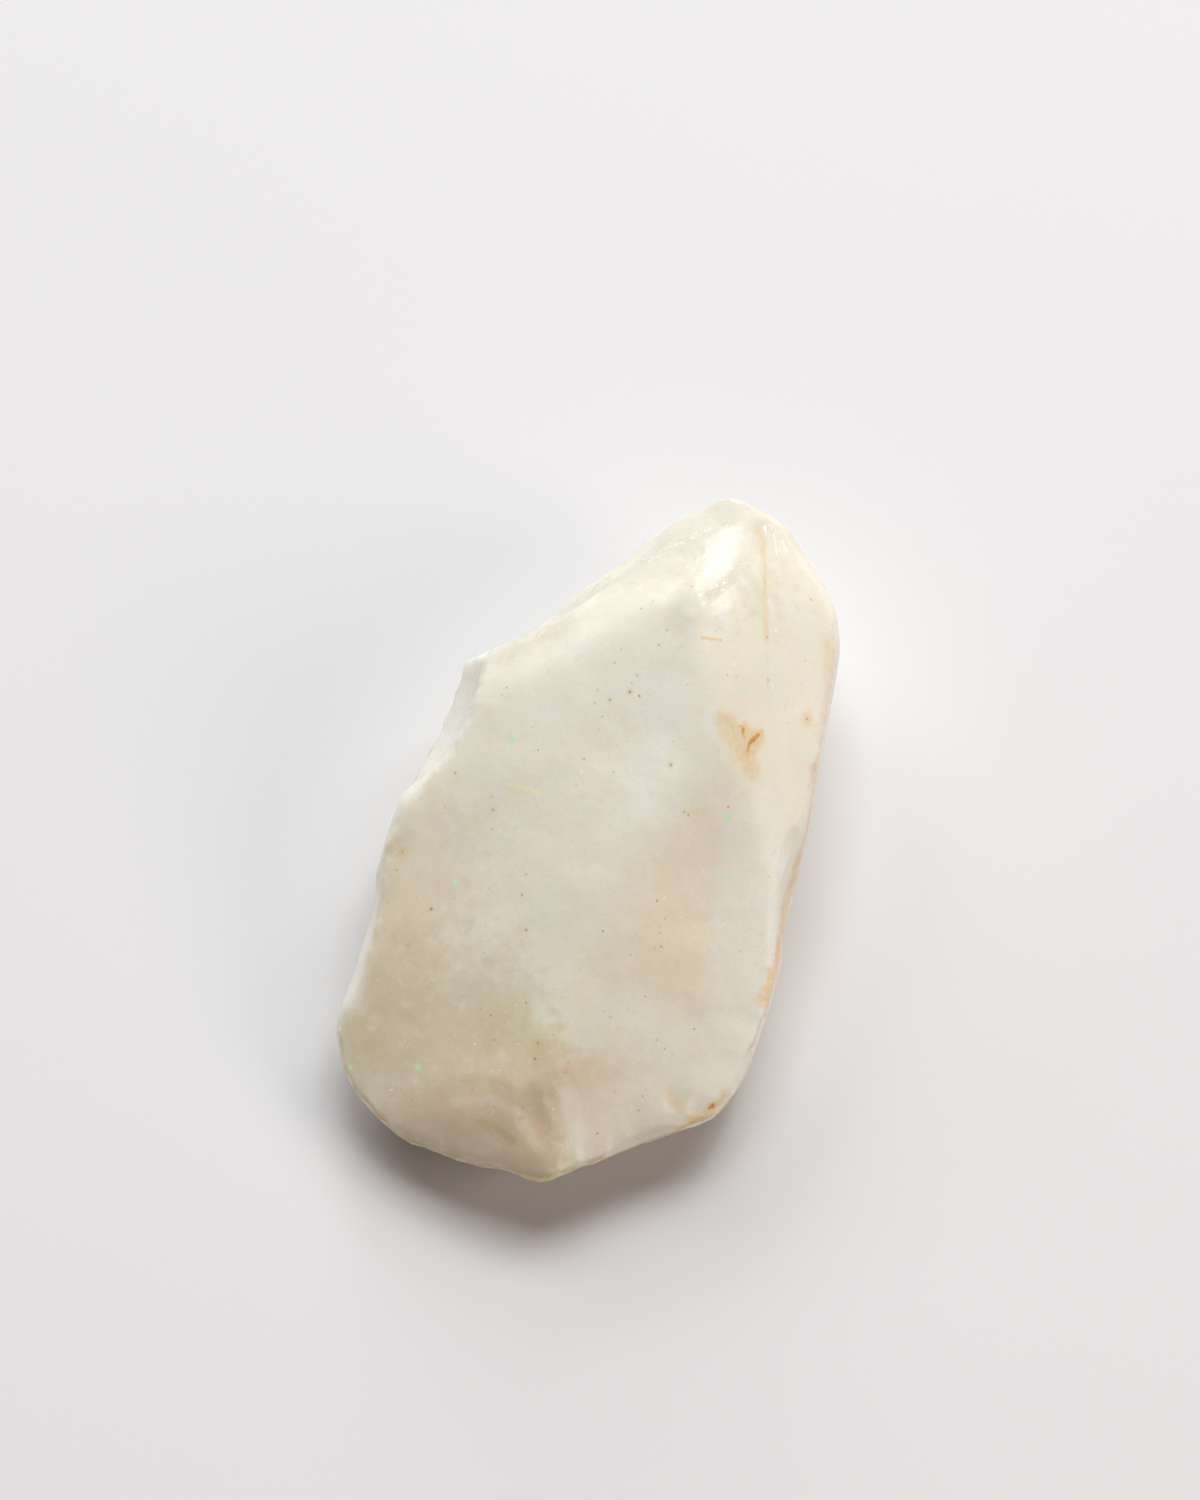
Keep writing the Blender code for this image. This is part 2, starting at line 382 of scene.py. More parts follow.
# Chips struck out of the edges and faces: place, radius and depth in mm.
chips = {
    "keelNick": ((566, 1164), 2.6, 0.14),
    "lipNickA": ((590, 1153), 4.0, 0.14),
    "lipNickB": ((617, 1144), 3.0, 0.12),
    "lipNickC": ((655, 1137), 5.0, 0.16),
    "lipNickD": ((500, 1170), 5.0, 0.12),
    "lipNickE": ((470, 1162), 3.4, 0.12),
    "lipNickF": ((437, 1149), 5.0, 0.12),
    "scoopA": ((674, 1104), 3.4, 0.07),
    "scoopB": ((700, 1110), 6.0, 0.10),
    "leftNick": ((397, 848), 2.2, 0.09),
    "leftBite": ((412, 780), 4.0, 0.22),
}

# Steps left by the breaks: a line, the drop and reach in mm of the ground beside it, and on which side.
steps = {
    "tipCrack": (((761, 516), (763, 555), (767, 600), (771, 640), (768, 690)), 0.13, 1.6, (1.0, 0.0, 0.0)),
    "bevelLine": (((590, 601), (640, 566), (686, 538)), 0.07, 2.2, (-0.6, 0.8, 0.0)),
    "pitLeft": (((722, 716), (735, 748), (752, 774)), 0.16, 1.5, (1.0, 0.2, 0.0)),
    "rightScoop": (((664, 1091), (672, 1097), (680, 1110)), 0.14, 1.2, (0.7, 0.7, 0.0)),
}
stepShape = {
    "startFade": 0.12,
    "endFade": 0.35,
    "lip": 0.12,
    "fall": 0.24,
    "recovery": 2.0,
    "farthest": 2.5,
}

# Rings round the point where a blow fell: place, spacing, phase, height, start and reach in mm.
ripples = {
    "frontRings": ((474, 1158), 3.1, 0.4, 0.018, 2.4, 8.6),
    "hollowRings": ((716, 1100), 3.6, 0.0, 0.030, 3.0, 22.0),
}
hiddenRipples = {
    "backRings": ((350, -5), 2.6, 0.0, 0.05, 1.5, 12.0),
    "underRings": ((40, -20), 3.0, 0.0, 0.06, 2.0, 15.0),
    "leftRings": ((300, -8), 2.2, 0.0, 0.04, 1.5, 9.0),
    "chinRings": ((150, -30), 2.6, 0.0, 0.06, 1.5, 11.0),
}
ringShape = {
    "overtone": 0.3,
    "overtonePhase": 0.8,
    "startFade": 1.2,
    "endFade": 0.4,
    "sameFace": (0.55, 0.3),
    "patchSize": 5.0,
    "patchLevel": 0.5,
    "patchContrast": 1.3,
}

# Small chips along every sharp edge, placed by a seeded draw; none near the spared line.
edgeChips = {
    "seed": 11,
    "count": 110,
    "leastSharp": 0.30,
    "radius": (1.2, 4.2),
    "depth": (0.02, 0.09),
    "stretch": (1.0, 2.2),
    "apart": 1.3,
    "around": 0.9,
    "waver": 0.12,
    "lowest": 1.2,
    "spared": (
        (474, 665), (482, 690), (478, 716), (462, 730), (408, 810), (384, 850), (376, 920), (366, 990),
    ),
    "sparedWidth": 1.9,
}

edgeStart, edgeEnd = np.array([tuple(e.vertices) for e in stoneMesh.edges]).T


def gathered(atStart, atEnd):  # what each edge brings to its two points, summed at every point
    total = np.zeros(len(skin))
    np.add.at(total, edgeStart, atStart)
    np.add.at(total, edgeEnd, atEnd)
    return total


edgesAt = gathered(1.0, 1.0)


def evened(values, rounds):  # in each round a point goes halfway to the mean of its neighbours
    for turn in range(rounds):
        values = 0.5 * values + 0.5 * gathered(values[edgeEnd], values[edgeStart]) / edgesAt
    return values


def bendOf(points, facingOut, rounds):  # how sharply the skin bends, per mm, positive on edges
    run = points[edgeEnd] - points[edgeStart]
    bend = np.sum((facingOut[edgeEnd] - facingOut[edgeStart]) * run, axis=1)
    bend = bend / np.maximum(np.sum(run * run, axis=1), tiny)
    return evened(gathered(bend, bend) / edgesAt, rounds)


def meshNormals(points):
    stoneMesh.vertices.foreach_set("co", points.astype(np.float32).ravel())
    stoneMesh.update()
    out = np.empty(len(points) * 3, dtype=np.float32)
    stoneMesh.vertex_normals.foreach_get("vector", out)
    return out.reshape(-1, 3).astype(float)


smoothSkin = skin.copy()
restWeight = fade(skin[:, 2], *relief["restFade"])
under = fade(-normals[:, 2], *relief["underFade"])
rightSide = fade(normals[:, 0], *relief["scratchFade"])
sharp = bendOf(smoothSkin, normals, relief["sharpRounds"])
rims = fade(sharp, *relief["rimFade"])
rise = relief["broadHeight"] * cloud(skin, relief["broadSize"], 2)
rise += relief["middleHeight"] * cloud(skin, relief["middleSize"], 3, shift=7.0)
rise += relief["fineHeight"] * cloud(skin, relief["fineSize"], 2, shift=3.0)
rise += relief["underHeight"] * under * cloud(skin, relief["underSize"], 4, shift=5.0)
rise += relief["rimHeight"] * rims * (cloud(skin, relief["rimSize"], 3, shift=6.0) - relief["rimLevel"])
rise += relief["scratchHeight"] * rightSide * cloud(skin / np.array(relief["scratchSize"]), 1.0, 2, shift=9.0)

ringPatches = ringShape["patchContrast"] * cloud(skin, ringShape["patchSize"], 1, shift=2.0)
patchy = ease(ringShape["patchLevel"] + ringPatches)
rings = [(onSkin(place), sizes) for place, *sizes in ripples.values()]
rings += [(fromHeart(*place), sizes) for place, *sizes in hiddenRipples.values()]
for (centre, outward), (spacing, phase, height, start, reach) in rings:
    distance = lengthOf(skin - centre)
    turns = 2.0 * math.pi * distance / spacing + phase
    wave = np.sin(turns) + ringShape["overtone"] * np.sin(2.0 * turns + ringShape["overtonePhase"])
    window = fade(distance, start, ringShape["startFade"])
    window = window * fade(reach - distance, 0.0, ringShape["endFade"] * reach)
    sameFace = fade(normals @ outward, *ringShape["sameFace"])
    rise += height * wave * window * sameFace * patchy

for line, drop, reach, fallingSide in steps.values():
    path = np.array(seenPath(line))
    distance, share = pathDistance(skin, path)
    k = np.clip((share * (len(path) - 1)).astype(int), 0, len(path) - 2)
    along = unit(path[-1] - path[0])
    side = unit(np.array(fallingSide) - along * (along @ np.array(fallingSide)))
    offset = (skin - path[k]) - ((skin - path[k]) @ along)[:, None] * along
    across = offset @ side
    ends = fade(share, 0.0, stepShape["startFade"]) * fade(1.0 - share, 0.0, stepShape["endFade"])
    back = np.exp(-np.maximum(across, 0.0) / reach * stepShape["recovery"])
    fall = fade(across, -stepShape["lip"], stepShape["fall"]) * back
    rise -= drop * fall * ends * (distance < reach * stepShape["farthest"])

skin = skin + normals * (rise * restWeight)[:, None]

fresh = np.zeros(len(skin))
for pixel, radius, depth in chips.values():
    place, outward = onSkin(pixel)
    skin, struck = carve(skin, place + outward * (radius - depth), outward, radius)
    fresh[struck] = 1.0

draw = np.random.default_rng(edgeChips["seed"])
spared = pathDistance(smoothSkin, seenPath(edgeChips["spared"]))[0] < edgeChips["sparedWidth"]
sites = np.flatnonzero((sharp > edgeChips["leastSharp"]) & (smoothSkin[:, 2] > edgeChips["lowest"]) & ~spared)
taken = []
for site in draw.permutation(sites):
    if len(taken) == edgeChips["count"]:
        break
    if all(np.linalg.norm(smoothSkin[site] - smoothSkin[other]) > edgeChips["apart"] for other in taken):
        taken.append(site)
for site in taken:
    nearby = lengthOf(smoothSkin - smoothSkin[site]) < edgeChips["around"]
    spread = normals[nearby] - normals[nearby].mean(axis=0)
    acrossEdge = np.linalg.eigh(spread.T @ spread)[1][:, 2]
    axis = unit(normals[nearby].mean(axis=0) + draw.normal(0.0, edgeChips["waver"], 3))
    alongEdge = unit(np.cross(axis, acrossEdge))
    radius = draw.uniform(*edgeChips["radius"])
    depth = draw.uniform(*edgeChips["depth"])
    stretch = draw.uniform(*edgeChips["stretch"])
    skin, struck = carve(skin, skin[site] + axis * (radius - depth), axis, radius, alongEdge, stretch)
    fresh[struck] = 1.0

skin[:, 2] = np.where(smoothSkin[:, 2] < relief["restFlat"], 0.0, np.maximum(skin[:, 2], 0.0))
detailNormals = meshNormals(skin)
bend = bendOf(skin, detailNormals, relief["bendRounds"])
print("relief carved,", len(taken), "edge chips")

# Zones that follow from the shape: thin edges take the clear tint as painted shade, the low rim a darker warm
# tint. Sizes in mm.
zones = {
    "startInside": 0.05,
    "deepest": 20.0,
    "thinBelow": 9.0,
    "thinRounds": 6,
    "rimTop": 10.5,
    "rimFade": 4.0,
}

detailTree = BVHTree.FromPolygons([Vector(p) for p in skin], quads)
thickness = np.full(len(skin), zones["deepest"])
for i, (p, n) in enumerate(zip(skin, detailNormals)):
    hit = detailTree.ray_cast(Vector(p - n * zones["startInside"]), Vector(-n))
    if hit[0] is not None:
        thickness[i] = hit[3]
thin = evened(1.0 - ease(thickness / zones["thinBelow"]), zones["thinRounds"])

# Stains, and painted light and shade: path in points of the 1200 x 1500 frame, radius in mm, strength.
stainsAndPaintedLight = {
    "rust": (
        (((727, 724), (738, 738), (751, 768)), 0.9, 0.48),
        (((744, 730), (758, 737), (749, 752)), 0.6, 0.6),
        (((721, 716), (735, 746), (752, 776)), 0.45, 0.42),
        (((760, 530), (764, 600), (766, 640)), 0.35, 0.35),
        (((807, 719),), 0.7, 0.35),
        (((778, 945), (773, 975), (768, 1000)), 0.8, 0.7),
        (((726, 1094), (716, 1108), (690, 1121)), 0.42, 0.55),
        (((666, 1094), (680, 1108)), 0.35, 0.3),
        (((395, 846), (402, 851)), 0.6, 0.3),
    ),
    "warm": (
        (((382, 930), (392, 1000)), 2.4, 0.15),
        (((543, 1062), (546, 1100), (552, 1148)), 1.6, 0.6),
        (((816, 770), (808, 830), (792, 880), (780, 940), (768, 1000)), 1.1, 1.0),
        (((832, 640), (830, 690), (822, 740)), 0.9, 0.6),
        (((440, 1130), (548, 1130), (610, 1120)), 5.0, 0.35),
    ),
    "cream": (
        (((704, 895), (680, 965)), 5.0, 0.8),
        (((698, 825), (706, 940), (703, 1045)), 2.4, 0.9),
        (((405, 920), (400, 1010), (460, 1070), (560, 1100)), 5.0, 0.8),
    ),
    # painted shade: darker where the front-left and lower faces turn from the lamps, and in the crescents of
    # the ripple steps
    "paintedShadeAndMottle": (
        (((385, 1060), (430, 1090), (520, 1100)), 5.0, 0.62),
        (((405, 990), (405, 1040), (480, 1010)), 5.0, 0.8),
        (((425, 860), (400, 900)), 5.5, 0.40),
        (((450, 1090), (490, 1094), (535, 1110)), 2.0, 0.8),
        (((500, 1162), (541, 1167), (560, 1152)), 1.3, 0.8),
        (((464, 1080), (480, 1079), (496, 1081), (510, 1087)), 0.42, 1.0),
        (((484, 1084), (504, 1088)), 0.45, 0.6),
        (((470, 1092), (500, 1096)), 2.6, 0.5),
        (((481, 1122), (498, 1129), (514, 1140)), 0.38, 1.0),
        (((549, 1085), (554, 1110), (556, 1140)), 1.3, 0.9),
    ),
    "olive": (
        (((474, 700), (480, 716)), 1.8, 0.35),
        (((352, 1035), (360, 1050)), 1.8, 0.6),
        (((500, 1030), (530, 1040)), 2.4, 0.7),
        # the next two, the crescents of the ripple steps, are partly olive tint and partly painted shade
        (((464, 1079), (480, 1076), (494, 1077), (510, 1085)), 0.36, 0.7),
        (((482, 1122), (498, 1129), (514, 1140)), 0.42, 0.8),
        (((527, 1146), (536, 1150)), 0.4, 0.7),
        (((410, 1142), (440, 1160), (500, 1176), (541, 1184), (572, 1172)), 0.55, 1.0),
    ),
    "gloss": (
        (((717, 530), (717, 592)), 1.7, 1.0),
        (((719, 590), (728, 625)), 1.2, 0.5),
        (((770, 530), (774, 600)), 0.6, 0.45),
        (((600, 585), (650, 558), (698, 532)), 0.8, 0.7),
        (((430, 765), (455, 720)), 1.2, 0.7),
    ),
    # clear tint: painted shade on the tip, the back bevel and beside the highlight, which the back lamps
    # light strongly
    "clearAndPaintedShade": (
        (((505, 652), (540, 630), (580, 604), (640, 565), (690, 530)), 3.4, 0.9),
        (((705, 560), (720, 510), (745, 520)), 5.5, 0.9),
        (((725, 508), (745, 520)), 2.6, 1.3),
        (((695, 602), (699, 588)), 2.6, 1.2),
    ),
    # milk marks: painted light that lifts places turned from the lamps: the hollow, the right band, the
    # crest, the left flakes and the light bands of the ripples
    "milk": (
        (((470, 712), (560, 690), (640, 640)), 4.5, 0.7),
        (((665, 690), (668, 740), (660, 790)), 3.8, 0.9),
        (((756, 840), (748, 930), (742, 1000), (735, 1050)), 3.6, 1.0),
        (((690, 1040), (715, 1075)), 3.0, 0.8),
        (((436, 755), (455, 720)), 1.6, 0.4),
        (((478, 655), (468, 690), (452, 730)), 1.8, 1.0),
        (((455, 1102), (490, 1099), (517, 1113)), 0.45, 0.35),
        (((374, 902), (362, 948), (350, 992)), 1.5, 1.0),
        (((590, 1125), (650, 1100)), 2.6, 0.6),
        (((570, 1100), (576, 1125), (574, 1148)), 1.0, 0.7),
        (((690, 800), (712, 860), (705, 900)), 2.6, 0.35),
        (((640, 1010), (660, 1040)), 2.4, 0.5),
        (((762, 800), (768, 850), (768, 890), (754, 960), (744, 1000)), 1.2, 0.7),
        (((785, 560), (800, 620), (800, 700)), 2.0, 0.25),
        (((652, 626), (662, 616)), 1.4, 0.35),
    ),
}

# On the sides out of sight the path is in bearings and rises from the stone's heart.
hiddenZones = {
    "seep": (
        (((20, -12), (48, -20)), 4.0, 1.0),
        (((96, -16), (122, -25)), 3.4, 1.0),
        (((190, -30), (222, -20)), 4.0, 0.9),
        (((262, -30), (300, -18)), 3.0, 0.9),
        (((322, -8), (340, -16)), 2.6, 0.9),
        (((150, -60), (350, -65)), 3.2, 0.8),
    ),
    "cream": (
        (((30, -30), (90, -40), (150, -30)), 8.0, 0.7),
    ),
    "gloss": (
        (((60, -25), (95, -30)), 4.0, 0.7),
        (((230, -30), (275, -35)), 4.0, 0.6),
    ),
    "clearAndPaintedShade": (
        (((180, -40), (240, -35)), 7.0, 0.7),
        (((0, -30), (330, -35)), 6.0, 0.7),
    ),
}

# Marks too fine for the mesh, drawn by the material: round specks and hair lines, widths in mm.
specks = {
    "brown": (
        ((431, 909), 0.16), ((526, 930), 0.13), ((408, 946), 0.17), ((610, 700), 0.13), ((630, 692), 0.16),
        ((637, 675), 0.10), ((632, 683), 0.08), ((684, 812), 0.10), ((688, 815), 0.10), ((584, 759), 0.10),
        ((455, 773), 0.11), ((492, 797), 0.11), ((493, 810), 0.12), ((492, 829), 0.07), ((502, 695), 0.08),
        ((661, 947), 0.10), ((655, 948), 0.07), ((671, 765), 0.16), ((615, 1091), 0.10), ((538, 1043), 0.13),
        ((576, 785), 0.08), ((614, 772), 0.09), ((807, 719), 0.16), ((767, 637), 0.13), ((768, 680), 0.09),
        ((713, 1106), 0.34), ((710, 1108), 0.22), ((754, 740), 0.20), ((752, 743), 0.14), ((743, 731), 0.12),
        ((743, 735), 0.09), ((402, 851), 0.13), ((641, 609), 0.08), ((667, 630), 0.08), ((659, 645), 0.08),
    ),
    # glint specks: painted highlights
    "glint": (
        ((582, 771), 0.26), ((603, 756), 0.12), ((734, 664), 0.15), ((712, 685), 0.12), ((630, 604), 0.12),
        ((629, 625), 0.11), ((776, 630), 0.28), ((782, 640), 0.16), ((692, 538), 0.20), ((683, 543), 0.16),
        ((649, 562), 0.16), ((812, 618), 0.12), ((555, 665), 0.08), ((440, 760), 0.18), ((444, 757), 0.12),
    ),
    "green": (
        ((727, 817), 0.42), ((724, 815), 0.22), ((722, 877), 0.24), ((455, 882), 0.34), ((418, 1067), 0.46),
        ((512, 740), 0.46), ((777, 551), 0.34), ((350, 1067), 0.36), ((748, 690), 0.28), ((540, 1016), 0.26),
    ),
    "yellow": (((632, 1106), 0.30), ((632, 1098), 0.16), ((747, 684), 0.20), ((705, 603), 0.16)),
}
hairLines = {
    "amber": (
        (((739, 725), (744, 728)), 0.09), (((744, 728), (743, 733)), 0.14), (((743, 733), (745, 738)), 0.10),
        (((758, 735), (750, 743)), 0.26), (((750, 743), (747, 753)), 0.14), (((727, 728), (728, 733)), 0.08),
    ),
    "orange": (
        (((702, 638), (721, 640)), 0.20), (((762, 548), (765, 610)), 0.12), (((766, 640), (768, 690)), 0.06),
        (((762, 731), (750, 744)), 0.34), (((750, 744), (748, 758)), 0.28), (((743, 726), (745, 738)), 0.30),
    ),
    # glint lines: painted highlights along the crack and the bevel
    "glint": (
        (((765, 526), (769, 604)), 0.15), (((769, 604), (772, 690)), 0.07), (((782, 540), (787, 552)), 0.10),
        (((774, 534), (777, 556)), 0.09), (((600, 584), (625, 572)), 0.08), (((655, 552), (684, 541)), 0.10),
    ),
    "yellow": (
        (((508, 785), (522, 787)), 0.26), (((522, 787), (539, 793)), 0.30),
        # these two along the bottom lip paint the glow of its thin edge
        (((522, 1176), (541, 1181)), 0.30), (((541, 1181), (560, 1175)), 0.34),
    ),
}

zoneEdges = {"fineSize": 0.9, "broadSize": 2.6, "broadShare": 0.6, "raggedness": 0.35, "outer": 1.35}
raggedness = cloud(skin, zoneEdges["fineSize"], 3, shift=4.0)
raggedness = raggedness + zoneEdges["broadShare"] * cloud(skin, zoneEdges["broadSize"], 2, shift=1.0)


def zoneMask(kind):
    marks = [(seenPath(path), radius, strength) for path, radius, strength in stainsAndPaintedLight.get(kind, ())]
    marks += [(hiddenPath(path), radius, strength) for path, radius, strength in hiddenZones.get(kind, ())]
    total = np.zeros(len(skin))
    for path, radius, strength in marks:
        distance, share = pathDistance(skin, path)
        ragged = distance * (1.0 + zoneEdges["raggedness"] * raggedness) / radius
        total = np.maximum(total, strength * ease(zoneEdges["outer"] - ragged))
    return total


masks = {kind: zoneMask(kind) for kind in {**stainsAndPaintedLight, **hiddenZones}}
masks["thin"] = thin
masks["bend"] = bend
masks["fresh"] = fresh
masks["low"] = fade(zones["rimTop"] - skin[:, 2], 0.0, zones["rimFade"])
print("stains laid on")

rowSkin = (turned(skin, lengthBearing) - rowShift) * mm
stoneMesh.vertices.foreach_set("co", rowSkin.astype(np.float32).ravel())
for name, values in masks.items():
    layer = stoneMesh.attributes.new(name, "FLOAT", "POINT")
    layer.data.foreach_set("value", values.astype(np.float32))
stoneMesh.update()
stoneMesh.shade_smooth()
stone = bpy.data.objects.new("roughOpalStone", stoneMesh)
bpy.context.scene.collection.objects.link(stone)
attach(stone, "root")
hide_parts("rough_opal")


def rowMm(point):  # from the camera's layout to the row frame, both in mm
    return turned(np.array([point], float), lengthBearing)[0] - rowShift


def newGroup(name, vectors, numbers, output):
    tree = bpy.data.node_groups.new(name, "ShaderNodeTree")
    for label in vectors:
        tree.interface.new_socket(label, in_out="INPUT", socket_type="NodeSocketVector")
    for label, value in numbers.items():
        socket = tree.interface.new_socket(label, in_out="INPUT", socket_type="NodeSocketFloat")
        socket.default_value = value
    tree.interface.new_socket(output, in_out="OUTPUT", socket_type="NodeSocketFloat")
    given = tree.nodes.new("NodeGroupInput").outputs
    return tree, given, tree.nodes.new("NodeGroupOutput").inputs[output]


def addNode(tree, kind, settings=None, values=None, links=None):
    node = tree.nodes.new(kind)
    for key, value in (settings or {}).items():
        setattr(node, key, value)
    for key, value in (values or {}).items():
        node.inputs[key].default_value = value
    for key, socket in (links or {}).items():
        tree.links.new(socket, node.inputs[key])
    return node


def maths(tree, operation, a, b=None, clamp=False):
    node = addNode(tree, "ShaderNodeMath", {"operation": operation, "use_clamp": clamp})
    for k, value in enumerate((a, b)):
        if value is None:
            continue
        if isinstance(value, (int, float)):
            node.inputs[k].default_value = value
        else:
            tree.links.new(value, node.inputs[k])
    return node.outputs[0]


def vectorMaths(tree, operation, values, links):
    return addNode(tree, "ShaderNodeVectorMath", {"operation": operation}, values, links).outputs


def blendColour(tree, amount, first, second):
    node = addNode(tree, "ShaderNodeMix", {"data_type": "RGBA"})
    for key, value in ((0, amount), (6, first), (7, second)):
        if isinstance(value, (int, float, tuple)):
            node.inputs[key].default_value = value
        else:
            tree.links.new(value, node.inputs[key])
    return node.outputs[2]


def rangeOf(tree, value, low, high, toLow=0.0, toHigh=1.0):
    node = addNode(tree, "ShaderNodeMapRange", {"interpolation_type": "SMOOTHSTEP"})
    tree.links.new(value, node.inputs[0])
    for k, number in enumerate((low, high, toLow, toHigh)):
        node.inputs[k + 1].default_value = number
    return node.outputs[0]


def cloudGroup():  # slow cloudy mask, 0 to 1
    numbers = {"Size": 5.0, "Low": 0.4, "High": 0.6, "Warp": 0.5}
    tree, given, result = newGroup("milkClouds", ("Position",), numbers, "Mask")
    scale = maths(tree, "DIVIDE", 1.0, given["Size"])
    noiseNode = addNode(
        tree, "ShaderNodeTexNoise", None, {"Detail": 4.0, "Roughness": 0.55},
        {"Vector": given["Position"], "Scale": scale, "Distortion": given["Warp"]},
    )
    mapped = addNode(
        tree, "ShaderNodeMapRange", {"interpolation_type": "SMOOTHSTEP"}, None,
        {"Value": noiseNode.outputs[0], "From Min": given["Low"], "From Max": given["High"]},
    )
    tree.links.new(mapped.outputs[0], result)
    return tree


speckShape = {"leastSize": 0.35, "core": 0.45, "faintest": 0.25}  # shares of the radius and of full strength


def speckGroup():  # tiny round specks, one in some of the cells of a scatter
    numbers = {"Spacing": 2.0, "Radius": 0.1, "Chance": 0.3}
    tree, given, result = newGroup("scatteredSpecks", ("Position",), numbers, "Mask")
    cells = addNode(
        tree, "ShaderNodeTexVoronoi", {"feature": "F1"}, None,
        {"Vector": given["Position"], "Scale": maths(tree, "DIVIDE", 1.0, given["Spacing"])},
    )
    distance = maths(tree, "MULTIPLY", cells.outputs["Distance"], given["Spacing"])
    cellDraw = addNode(tree, "ShaderNodeSeparateColor", None, None, {"Color": cells.outputs["Color"]}).outputs
    size = maths(tree, "MULTIPLY", given["Radius"], maths(tree, "ADD", cellDraw[1], speckShape["leastSize"]))
    core = maths(tree, "MULTIPLY", size, speckShape["core"])
    speck = addNode(
        tree, "ShaderNodeMapRange", {"interpolation_type": "SMOOTHSTEP"}, {"To Min": 1.0, "To Max": 0.0},
        {"Value": distance, "From Min": core, "From Max": size},
    )
    strength = maths(tree, "MULTIPLY", cellDraw[2], 1.0 - speckShape["faintest"])
    strength = maths(tree, "ADD", strength, speckShape["faintest"])
    chosen = maths(tree, "MULTIPLY", maths(tree, "LESS_THAN", cellDraw[0], given["Chance"]), strength)
    tree.links.new(maths(tree, "MULTIPLY", speck.outputs[0], chosen), result)
    return tree


def lineGroup():  # how far a point is from the straight line between two others, in widths of the line
    points = ("Position", "Start", "End")
    tree, given, result = newGroup("hairLine", points, {"Width": 0.1}, "Widths")
    run = vectorMaths(tree, "SUBTRACT", None, {0: given["End"], 1: given["Start"]})[0]
    fromStart = vectorMaths(tree, "SUBTRACT", None, {0: given["Position"], 1: given["Start"]})[0]
    reached = vectorMaths(tree, "DOT_PRODUCT", None, {0: fromStart, 1: run})["Value"]
    whole = vectorMaths(tree, "DOT_PRODUCT", None, {0: run, 1: run})["Value"]
    along = maths(tree, "DIVIDE", reached, whole, clamp=True)
    nearest = vectorMaths(tree, "SCALE", None, {0: run, "Scale": along})[0]
    apart = vectorMaths(tree, "DISTANCE", None, {0: fromStart, 1: nearest})["Value"]
    tree.links.new(maths(tree, "DIVIDE", apart, given["Width"]), result)
    return tree


grainShape = {
    "scratchTurn": (0.3, 0.2, 0.5),
    "scratchStretch": (9.0, 0.35, 5.0),
    "scratchScale": 0.6,
    "middle": 0.8,
}


def reliefGroup():  # skin too fine for the mesh: dimples, grain and hair scratches
    numbers = {"Dimple Size": 0.4, "Grain Size": 0.12, "Grain": 0.3, "Scratch": 0.3}
    tree, given, result = newGroup("skinGrain", ("Position",), numbers, "Height")
    place = given["Position"]

    def bumps(values, links):
        return addNode(tree, "ShaderNodeTexNoise", None, values, links).outputs[0]

    dimpleScale = maths(tree, "DIVIDE", 1.0, given["Dimple Size"])
    dimples = bumps({"Detail": 3.0, "Roughness": 0.6}, {"Vector": place, "Scale": dimpleScale})
    grainScale = maths(tree, "DIVIDE", 1.0, given["Grain Size"])
    grain = bumps({"Detail": 2.0, "Roughness": 0.6}, {"Vector": place, "Scale": grainScale})
    stretching = {"Rotation": grainShape["scratchTurn"], "Scale": grainShape["scratchStretch"]}
    stretched = addNode(tree, "ShaderNodeMapping", None, stretching, {"Vector": place}).outputs[0]
    hairValues = {"Scale": grainShape["scratchScale"], "Detail": 3.0, "Roughness": 0.7}
    hair = bumps(hairValues, {"Vector": stretched})
    height = maths(tree, "ADD", dimples, maths(tree, "MULTIPLY", grain, given["Grain"]))
    height = maths(tree, "ADD", height, maths(tree, "MULTIPLY", hair, given["Scratch"]))
    tree.links.new(maths(tree, "SUBTRACT", height, grainShape["middle"]), result)
    return tree


